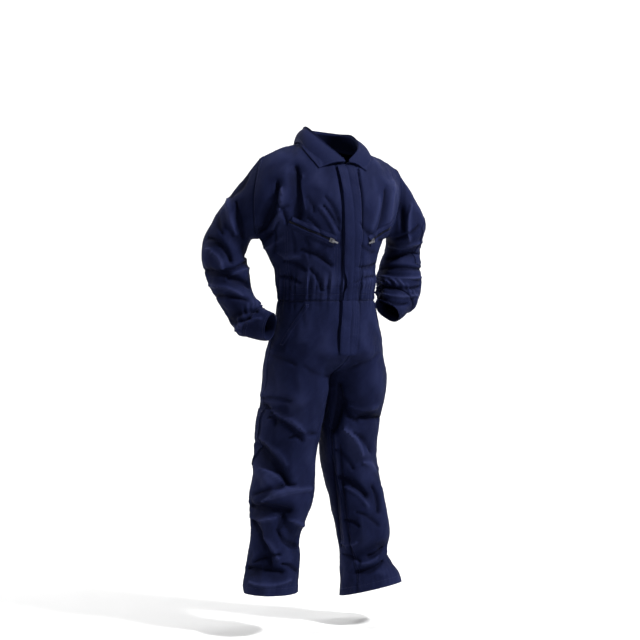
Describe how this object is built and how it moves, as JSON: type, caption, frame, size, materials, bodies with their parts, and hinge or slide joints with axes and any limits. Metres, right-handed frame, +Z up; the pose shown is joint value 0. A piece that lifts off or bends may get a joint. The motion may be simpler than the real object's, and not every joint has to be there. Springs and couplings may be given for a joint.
{
  "type": "boiler suit",
  "caption": "Child's one-piece boiler suit, filled out as worn with hands on the hips, with turned-down collar, flap over the front zip, sloping chest zips and plain cuffs.",
  "frame": {"origin": "between the two points where neckline and shoulder seam meet, where the wearer's shoulders hold the suit up", "axes": "+Z up, from the hems to the collar; the suit faces -Y; the wearer's right is at -X"},
  "size_m": [0.4656, 0.2023, 0.9317],
  "materials": {
    "drill": "navy cotton drill, matt with a soft sheen",
    "zip_tape": "woven zip tape with moulded teeth",
    "zip_metal": "satin nickel"
  },
  "bodies": {
    "suit": {"back": "drill", "front_right": "drill", "front_left": "drill", "sleeve_right": "drill", "sleeve_left": "drill", "cuff_right": "drill", "cuff_left": "drill", "collar": "drill", "leg_front_right": "drill", "leg_front_left": "drill", "leg_back_right": "drill", "leg_back_left": "drill", "placket": "drill", "hip_pocket_right": "drill", "hip_pocket_left": "drill", "rule_pocket": "drill", "sleeve_pocket": "drill", "chest_lip_upper_right": "drill", "chest_lip_lower_right": "drill", "chest_lip_upper_left": "drill", "chest_lip_lower_left": "drill", "front_zip": "zip_tape", "chest_zip_right": "zip_tape", "chest_zip_left": "zip_tape", "slider_right": "zip_metal", "slider_left": "zip_metal"},
    "tab_right": {"pull_right": "zip_metal"},
    "tab_left": {"pull_left": "zip_metal"}
  },
  "joints": [
    {"name": "tab_right_lift", "type": "hinge", "parent": "suit", "child": "tab_right", "pos_m": [-0.03482, -0.09388, -0.18251], "axis": [-0.3307, 0.2447, -0.9114], "range_deg": [0, 150]},
    {"name": "tab_left_lift", "type": "hinge", "parent": "suit", "child": "tab_left", "pos_m": [0.05687, -0.08969, -0.18253], "axis": [-0.2884, -0.2984, 0.9098], "range_deg": [0, 150]}
  ]
}
